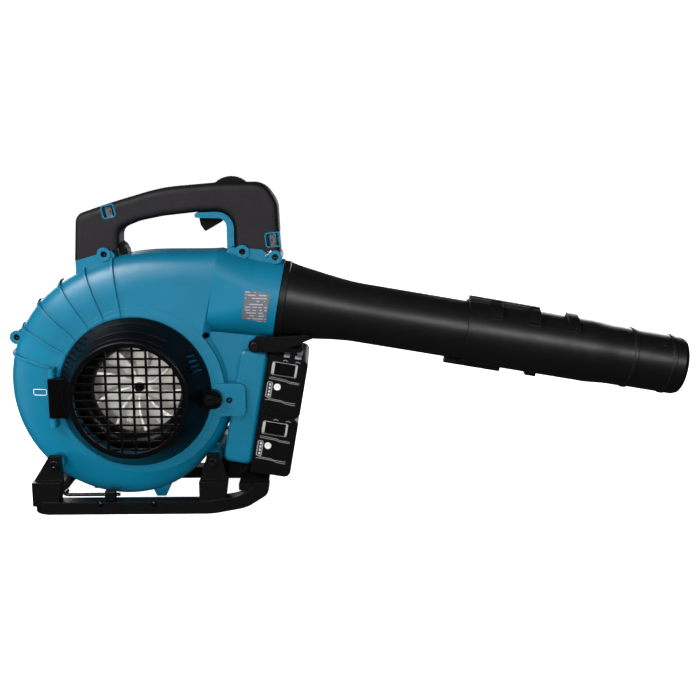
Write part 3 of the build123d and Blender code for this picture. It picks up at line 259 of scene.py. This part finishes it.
# one material for each of the record's slots, by the slot's name
MATERIALS = {
    "teal_shell": moulded("teal_nylon", TEAL, 0.36, depth=0.00004, specular=0.45),
    "handle_charcoal": handle_rubber(),
    "control_black": moulded("control_black", (0.0016, 0.0015, 0.0016), 0.40, wear=4.0, specular=0.2),
    "cover_black": moulded("cover_black", (0.0010, 0.0010, 0.0011), 0.26, wear=5.0, specular=0.17),
    "nozzle_black": moulded("nozzle_black", (0.0028, 0.0027, 0.0028), 0.36, wear=3.5, specular=0.42),
    "stand_black": moulded(
        "stand_black", (0.0014, 0.0014, 0.0015), 0.46, grain=0.0007, depth=0.0001, wear=4.0, specular=0.22,
    ),
    "battery_black": moulded(
        "battery_black", (0.0018, 0.0018, 0.0020), 0.40, rounding=0.0006, wear=6.0, specular=0.13,
    ),
    "release_grey": moulded(
        "release_black", (0.0015, 0.0015, 0.0016), 0.36, rounding=0.0005, wear=8.0, specular=0.12,
    ),
    "gauge_grey": printed("gauge_panel", (0.0008, 0.0008, 0.0008), 0.30, rounding=0.0003, wear=2.0),
    "check_white": printed("check_button", (0.50, 0.50, 0.485), 0.30, rounding=0.0004),
    "cell_wrap": heat_shrink(),
    "fan_white": moulded("fan_nylon", (0.84, 0.81, 0.76), 0.45, rounding=0.0006, wear=1.1),
    "motor_steel": laminations(),
    "bright_steel": metal("bright_steel", (0.60, 0.575, 0.62), 0.30),
    "dark_steel": metal("dark_steel", (0.045, 0.045, 0.05), 0.36, squeeze=(480, 480, 480), wear=0.5),
    "controller_metal": metal(
        "controller_cast", (0.42, 0.42, 0.43), 0.45, squeeze=(240, 240, 240), wear=0.3,
    ),
    "label_grey": printed_label(),
    "seal_rubber": moulded("seal_rubber", (0.010, 0.010, 0.010), 0.62, depth=0.00002, wear=1.6),
}

# materials of the small pieces alone
PRINT_GREY = printed("printed_grey", (0.34, 0.34, 0.35), 0.45)
PRINT_WHITE = printed("printed_white", (0.66, 0.68, 0.70), 0.42)
# pale grey for the release button's cheeks: painted highlight on the ends of the recess
PAINTED_HIGHLIGHT_PALE = printed("painted_highlight_pale", (0.21, 0.21, 0.205), 0.35, rounding=0.0003, wear=1.3)
# pale grey for the packs' ledges, bezel and arrows: painted highlight, standing in for light caught on
# moulded edges
PAINTED_HIGHLIGHT_GREY = printed("painted_highlight_grey", (0.15, 0.15, 0.15), 0.30, rounding=0.0002, wear=1.5)
LABEL_LILAC = printed("label_film_pale", (0.36, 0.34, 0.40), 0.45)

for part in frame["record"]["subparts"]:
    node = NODES[part["node"]]
    node.data.materials.clear()
    node.data.materials.append(MATERIALS[part["material_slot"]])


# ------------------------------------------------------------------ mesh helpers
SHARP_ABOVE = math.radians(35)


def piece(name, mesh_maker, material, body, slot, *where):
    """Mesh object that rides on a body; mesh_maker fills a bmesh, at a place or matrix if one is given."""
    bm = bmesh.new()
    mesh_maker(bm, *where)
    bmesh.ops.recalc_face_normals(bm, faces=bm.faces)
    mesh = bpy.data.meshes.new(name)
    bm.to_mesh(mesh)
    bm.free()
    mesh.shade_smooth()
    mesh.set_sharp_from_angle(angle=SHARP_ABOVE)
    thing = bpy.data.objects.new(name, mesh)
    bpy.context.scene.collection.objects.link(thing)
    mesh.materials.append(material)
    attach(thing, body)


def middle_of(box):
    low, high = box
    return (low + high) / 2


def near_middle(box):
    """Middle of a box's side that faces the viewer."""
    middle = middle_of(box)
    middle.y = box[0].y
    return middle


def face_frame(origin, along, normal):
    """Matrix whose x runs along, whose z is the surface normal, and whose origin is on the surface."""
    z = normal.normalized()
    x = (along - z * along.dot(z)).normalized()
    y = z.cross(x)
    return Matrix.Translation(origin) @ Matrix((x, y, z)).transposed().to_4x4()


def rounded_outline(width, height, radius):
    """Corner-rounded rectangle as a list of points, going round once."""
    steps = 5
    points = []
    for turn, (sx, sy) in enumerate(((1, 1), (-1, 1), (-1, -1), (1, -1))):
        centre = Vector((sx * (width / 2 - radius), sy * (height / 2 - radius), 0))
        for step in range(steps + 1):
            angle = math.radians(90 * turn + 90 * step / steps)
            points.append(centre + radius * Vector((math.cos(angle), math.sin(angle), 0)))
    return points


def dense(outline):
    """The same outline with points added along every stretch."""
    steps = 6
    following = outline[1:] + outline[:1]
    return [a.lerp(b, i / steps) for a, b in zip(outline, following) for i in range(steps)]


def arc(centre, radius, start, end, steps):
    """Points on a circle that faces the viewer, from start to end degrees, and their outward directions."""
    angles = [math.radians(start + (end - start) * i / steps) for i in range(steps + 1)]
    outward = [Vector((math.cos(angle), 0, math.sin(angle))) for angle in angles]
    return [centre + direction * radius for direction in outward], outward


def skin(bm, rings, closed=False):
    """Faces from each ring to the next; then back to the first if closed, or else a cap at both ends."""
    following = rings[1:] + rings[:1] if closed else rings[1:]
    for first, second in zip(rings, following):
        count = len(first)
        for i in range(count):
            bm.faces.new((first[i], first[(i + 1) % count], second[(i + 1) % count], second[i]))
    if not closed:
        bm.faces.new(rings[0][::-1])
        bm.faces.new(rings[-1])


def stacked(bm, matrix, levels, closed=False):
    """Skin over outlines of as many points, each lifted above the matrix's plane by its level."""
    rings = [
        [bm.verts.new(matrix @ (point + Vector((0, 0, level)))) for point in outline]
        for outline, level in levels
    ]
    skin(bm, rings, closed)


def slab(bm, matrix, outline, height):
    """Thin raised pad with a small chamfer round its top, standing on the matrix's plane."""
    drop = 0.25 * height
    inset = 1.5 * drop
    top = [point - point.normalized() * inset for point in outline]
    stacked(bm, matrix, ((outline, 0), (outline, height - drop), (top, height)))


def ridge(bm, points, normals, width, height):
    """Low moulded ridge along a path: flat-topped, with sloping sides, sunk feet and run-out ends."""
    sunk = -0.3 * MM
    end_share = 0.15
    last = len(points) - 1
    sections = []
    for i, (point, normal) in enumerate(zip(points, normals)):
        ahead = points[min(i + 1, last)] - points[max(i - 1, 0)]
        across = normal.cross(ahead).normalized() * width
        rise = height if 0 < i < last else height * end_share
        left = [(-0.5, sunk), (-0.5, rise / 2), (-0.3, rise)]
        right = [(-share, level) for share, level in reversed(left)]
        section = left + right
        sections.append([bm.verts.new(point + across * share + normal * level) for share, level in section])
    skin(bm, sections)


def prism(bm, origin, profile, half_width):
    """Solid whose side view is the profile: points in mm from the origin, which is an x and z in metres."""
    near, far = [
        [bm.verts.new((origin[0] + x * MM, side * half_width, origin[1] + z * MM)) for x, z in profile]
        for side in (-1, 1)
    ]
    skin(bm, [far, near])


# ------------------------------------------------------------------ battery packs
LEDGES = (
    # each: run along the pack's face, then height above or below the release button's middle, mm
    ((-17, -12.2), (-14, -11.6), (4, -12.9), (8, -14.2), (21, -14.6)),
    ((-17, -13.8), (2, -14.6), (9, -16.0), (21, -16.2)),
    ((-15, -39.2), (2, -40.0), (6, -41.2), (20, -41.0)),
    ((-18, -41.6), (-16, -40.8), (2, -41.6), (9, -43.4), (20, -43.8)),
)
ARROWS = (-0.5, 15.0)
STICKERS = (
    # each: middle along the pack's top, middle behind its near face, width, depth, mm
    (0, 18, 7, 28),
    (14.4, 11, 8, 18),
    (16, 42, 7, 30),
)
PRINT_HEIGHT = 0.08 * MM


def charge_lights(bm, gauge_at):
    """Column of four small windows on the gauge."""
    aside, lowest, pitch = 0.5, -6.6, 4.4
    for step in range(4):
        at = gauge_at @ Matrix.Translation((aside * MM, (lowest + pitch * step) * MM, 0))
        slab(bm, at, rounded_outline(2.5 * MM, 2.7 * MM, 0.5 * MM), 0.12 * MM)


def gauge_border(bm, gauge_at):
    """Printed outline round the charge lights."""
    outer = rounded_outline(6.6 * MM, 20.2 * MM, 2.0 * MM)
    inner = rounded_outline(5.5 * MM, 19.1 * MM, 1.5 * MM)
    levels = ((outer, 0), (outer, PRINT_HEIGHT), (inner, PRINT_HEIGHT), (inner, 0))
    stacked(bm, gauge_at, levels, closed=True)


def ledges(bm, face_at):
    """Thin steps moulded across the pack's face, pale grey as a painted highlight along them."""
    for ledge in LEDGES:
        path = [face_at @ Vector((along * MM, up * MM, 0)) for along, up in ledge]
        ridge(bm, path, [TO_VIEWER] * len(path), 0.7 * MM, 0.5 * MM)


def release_bezel(bm, face_at):
    """Raised frame round the release button, highest along its inner edge, pale grey as a painted
    highlight.
    """
    outer = rounded_outline(31.6 * MM, 17.0 * MM, 1.6 * MM)
    inner = rounded_outline(26.2 * MM, 15.8 * MM, 0.8 * MM)
    levels = ((outer, -0.1 * MM), (outer, 0.25 * MM), (inner, 0.55 * MM), (inner, -0.6 * MM))
    stacked(bm, face_at, levels, closed=True)


def release_cheeks(bm, face_at):
    """Pale pads at the two ends of the release button: painted highlights where the ends of the recess
    catch the light.
    """
    for aside, wide in ((-14.4, 3.6), (14.4, 2.4)):
        at = face_at @ Matrix.Translation((aside * MM, 0, 0.3 * MM))
        slab(bm, at, rounded_outline(wide * MM, 13.4 * MM, 0.5 * MM), 0.35 * MM)


def check_mark(bm, centre):
    """Most of a circle, printed on the check button."""
    path, _ = arc(centre, 1.7 * MM, -40, 220, 14)
    ridge(bm, path, [TO_VIEWER] * len(path), 0.55 * MM, PRINT_HEIGHT)


def moulded_arrows(bm, face_at):
    """Chevrons above the release button, pale grey as a painted highlight."""
    for along in ARROWS:
        chevron = ((along - 3, 11.2), (along, 12.4), (along + 3, 11.2))
        path = [face_at @ Vector((x * MM, up * MM, 0)) for x, up in chevron]
        ridge(bm, path, [TO_VIEWER] * len(path), 0.9 * MM, 0.15 * MM)


def pack_details(level):
    """Printed and moulded details on one pack's near face."""
    body = f"battery_{level}"
    face = middle_of(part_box(f"{body}_release"))
    face.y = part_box(f"{body}_case")[0].y
    face_at = face_frame(face, OUTWARD, TO_VIEWER)
    gauge_at = face_frame(near_middle(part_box(f"{body}_gauge")), OUTWARD, TO_VIEWER)
    check = near_middle(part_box(f"{body}_check"))

    piece(f"{body}_charge_lights", charge_lights, PRINT_GREY, body, "check_white", gauge_at)
    piece(f"{body}_gauge_border", gauge_border, PRINT_GREY, body, "check_white", gauge_at)
    # ledges, bezel and arrows are pale grey as a painted highlight
    piece(f"{body}_ledges", ledges, PAINTED_HIGHLIGHT_GREY, body, "battery_black", face_at)
    piece(f"{body}_release_bezel", release_bezel, PAINTED_HIGHLIGHT_GREY, body, "battery_black", face_at)
    # cheeks are pale as a painted highlight on the ends of the release recess
    piece(f"{body}_release_cheeks", release_cheeks, PAINTED_HIGHLIGHT_PALE, body, "release_grey", face_at)
    piece(f"{body}_check_mark", check_mark, MATERIALS["gauge_grey"], f"{body}_check", "gauge_grey", check)
    piece(f"{body}_arrows", moulded_arrows, PAINTED_HIGHLIGHT_GREY, body, "battery_black", face_at)


def pack_stickers(bm):
    """Blank pale stickers on the top face of the upper pack."""
    top = 15.51 * MM
    middle = middle_of(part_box("battery_upper_release"))
    face_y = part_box("battery_upper_case")[0].y
    for along, behind, wide, deep in STICKERS:
        origin = middle + OUTWARD * along * MM + UPWARD * top
        origin.y = face_y + behind * MM
        outline = rounded_outline(wide * MM, deep * MM, 0.8 * MM)
        slab(bm, face_frame(origin, OUTWARD, UPWARD), outline, 0.12 * MM)


for level in ("upper", "lower"):
    pack_details(level)
piece("pack_stickers", pack_stickers, LABEL_LILAC, "battery_upper", "check_white")


# ------------------------------------------------------------------ inlet cover
def cover_steps(bm):
    """Low steps moulded across the top of the cover's cone."""
    low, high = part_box("inlet_cover")
    centre = middle_of(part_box("impeller"))
    base_radius, face_radius = 96 * MM, 74 * MM
    base_y, face_y = high.y, low.y + 4 * MM
    slope = math.atan2(base_radius - face_radius, base_y - face_y)
    # how far up the cone each step lies, and how many degrees it runs to either side of the top
    for share, run in ((0.24, 24), (0.60, 34), (0.88, 34)):
        radius = base_radius + (face_radius - base_radius) * share
        centre.y = base_y + (face_y - base_y) * share
        points, outward = arc(centre, radius, 90 - run, 90 + run, 28)
        normals = [(d * math.cos(slope) + TO_VIEWER * math.sin(slope)).normalized() for d in outward]
        ridge(bm, points, normals, 2.6 * MM, 0.9 * MM)


piece("inlet_cover_steps", cover_steps, MATERIALS["cover_black"], "inlet_cover", "cover_black")


# ------------------------------------------------------------------ housing, handle and stand
def slot_mark(bm):
    """Pale printed outline beside the cover's hinge, laid onto the curved housing."""
    housing = bmesh.new()
    housing.from_mesh(NODES["housing_near"].data)
    housing.transform(NODES["housing_near"].matrix_world)
    surface = BVHTree.FromBMesh(housing)
    housing.free()

    beside, above = 16.5 * MM, 4.5 * MM
    pin_low, pin_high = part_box("cover_hinge_pin")
    centre = Vector((pin_low.x - beside, 0, (pin_low.z + pin_high.z) / 2 + above))
    outer = dense(rounded_outline(17 * MM, 8 * MM, 1.6 * MM))
    inner = dense(rounded_outline(15.8 * MM, 6.8 * MM, 1.0 * MM))
    rings = []
    for outline, lift in ((outer, -0.1), (outer, 0.1), (inner, 0.1), (inner, -0.1)):
        ring = []
        for point in outline:
            start = centre + Vector((point.x, CAD_BOX[0][1] - MM, point.y))
            place, normal, _, _ = surface.ray_cast(start, -TO_VIEWER)
            ring.append(bm.verts.new(place + normal * lift * MM))
        rings.append(ring)
    skin(bm, rings, closed=True)


def rail_plugs(bm):
    """Two dark plugs let into the near rail of the stand."""
    rail_middle = 13.9 * MM
    stand_low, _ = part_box("stand")
    for along in (86.5, 153.5):
        centre = Vector((stand_low.x + along * MM, stand_low.y, rail_middle))
        at = face_frame(centre, Vector((1, 0, 0)), TO_VIEWER)
        slab(bm, at, rounded_outline(8 * MM, 8 * MM, 3.9 * MM), 0.05 * MM)


def guard_foot(bm):
    """Teal fillet where the trigger surround meets the housing."""
    low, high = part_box("trigger_surround")
    profile = [(-10.4, -3.4), (-9.1, 0.8), (-4.0, 5.0), (-3.0, 3.4)]
    prism(bm, (high.x, low.z), profile, 16.2 * MM)


def grip_toe(bm):
    """Rubber toe where the handle's rear leg meets the housing."""
    leg_width = 57 * MM
    leg_low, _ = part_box("handle_near")
    profile = [(-1, 318.5), (-1, 338), (4.0, 335.5), (8.5, 329.5), (10.5, 323.5), (10, 318.5)]
    prism(bm, (leg_low.x + leg_width, 0), profile, 13.5 * MM)
    bmesh.ops.bevel(bm, geom=list(bm.edges), offset=2.2 * MM, segments=3, affect="EDGES")


def steel_strip(bm):
    """Sprung steel strip that shows in the notch at the foot of the handle's front leg."""
    window_low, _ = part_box("strap_window_front")
    start = Vector((window_low.x + 0.5 * MM, -22.6 * MM, window_low.z - 11.5 * MM))
    end = start + Vector((7.7, 0, 8.0)) * MM
    at = face_frame((start + end) / 2, end - start, TO_VIEWER)
    slab(bm, at, rounded_outline((end - start).length, 2.6 * MM, 0.5 * MM), 0.7 * MM)


piece("housing_slot_mark", slot_mark, PRINT_WHITE, "blower", "check_white")
piece("stand_rail_plugs", rail_plugs, MATERIALS["gauge_grey"], "blower", "stand_black")
piece("guard_foot", guard_foot, MATERIALS["teal_shell"], "blower", "teal_shell")
piece("grip_toe", grip_toe, MATERIALS["control_black"], "blower", "handle_charcoal")
piece("latch_strip", steel_strip, MATERIALS["bright_steel"], "blower", "bright_steel")


# ------------------------------------------------------------------ light, floor, camera
COOL_WHITE = (0.95, 0.97, 1, 1)
WHITE = (1, 1, 1, 1)


def studio():
    """White where the camera looks past the object, and dim all round for what lights or mirrors in it."""
    world = bpy.data.worlds.new("studio")
    bpy.context.scene.world = world
    world.use_nodes = True
    tree = world.node_tree
    tree.nodes.clear()

    def background(colour, strength):
        node = tree.nodes.new("ShaderNodeBackground")
        node.inputs["Color"].default_value = colour
        node.inputs["Strength"].default_value = strength
        return node.outputs[0]

    def either(share, first, second):
        node = tree.nodes.new("ShaderNodeMixShader")
        for socket, source in zip(node.inputs, (share, first, second)):
            tree.links.new(source, socket)
        return node.outputs[0]

    path = tree.nodes.new("ShaderNodeLightPath")
    lighting = background(COOL_WHITE, 0.16)
    mirrored = background(COOL_WHITE, 0.03)
    unseen = either(path.outputs["Is Glossy Ray"], lighting, mirrored)
    surface = either(path.outputs["Is Camera Ray"], unseen, background(WHITE, 1.05))
    tree.links.new(surface, tree.nodes.new("ShaderNodeOutputWorld").inputs["Surface"])


def floor():
    """Pale sheet just under the stand, glowing so that it stays near the background's white."""
    m = Shader("paper_floor")
    tone = m.mix(m.noise(0.4, 2), (0.93, 0.93, 0.93, 1), (0.95, 0.95, 0.95, 1))
    material = m.finish(
        Base_Color=tone, Roughness=0.9, Specular_IOR_Level=0.1, Emission_Color=WHITE,
        Emission_Strength=0.92, Normal=m.bump(m.noise(0.002, 2), 0.05, 0.0002),
    )

    bm = bmesh.new()
    bmesh.ops.create_grid(bm, x_segments=8, y_segments=8, size=12)
    mesh = bpy.data.meshes.new("floor")
    bm.to_mesh(mesh)
    bm.free()
    mesh.materials.append(material)
    thing = bpy.data.objects.new("floor", mesh)
    thing.location.z = -0.3 * MM
    bpy.context.scene.collection.objects.link(thing)
    thing.visible_diffuse = False
    thing.visible_glossy = False


def camera():
    """Camera in front of the inlet side, a little above the object and looking slightly down."""
    place = Vector((-0.029, -1.2709, 0.4526))
    aim = Vector((-0.0024, 0, 0.194))
    data = bpy.data.cameras.new("camera")
    data.sensor_width = 36
    data.lens = 51.1
    data.clip_end = 50
    thing = bpy.data.objects.new("camera", data)
    bpy.context.scene.collection.objects.link(thing)
    thing.location = place
    thing.rotation_euler = (aim - place).to_track_quat("-Z", "Y").to_euler()
    bpy.context.scene.camera = thing


def softbox(name, place, aim, width, height, power, mirrored=True):
    """Rectangular lamp at a place, turned to its aim."""
    data = bpy.data.lights.new(name, "AREA")
    data.shape = "RECTANGLE"
    data.size = width
    data.size_y = height
    data.energy = power
    lamp = bpy.data.objects.new(name, data)
    bpy.context.scene.collection.objects.link(lamp)
    lamp.location = place
    lamp.rotation_euler = (Vector(aim) - Vector(place)).to_track_quat("-Z", "Y").to_euler()
    lamp.visible_glossy = mirrored


studio()
floor()
camera()

# name, place, aim, width, height, watts
softbox("key", (-1.15, -1.05, 1.35), (-0.3, 0, 0.22), 1.0, 0.7, 36)
softbox("nozzle_strip", (0.75, -1.8, 0.95), (0.3, 0, 0.2), 1.3, 0.2, 17)
softbox("left_fill", (-1.8, -0.5, -0.1), (-0.3, 0, 0.15), 1.0, 1.0, 62, mirrored=False)
softbox("low_fill", (-0.35, -1.2, 0.1), (-0.28, 0, 0.08), 0.8, 0.15, 5, mirrored=False)
softbox("inlet_spot", (-0.27, -1.0, 0.28), (-0.27, 0, 0.15), 0.1, 0.1, 6, mirrored=False)
softbox("back_left", (-1.3, 1.8, 0.7), (-0.2, 0, 0.2), 1.0, 1.0, 26)
softbox("back_right", (1.2, 1.9, 0.6), (0, 0, 0.2), 1.0, 1.0, 24)

scene = bpy.context.scene
scene.view_settings.view_transform = "Standard"
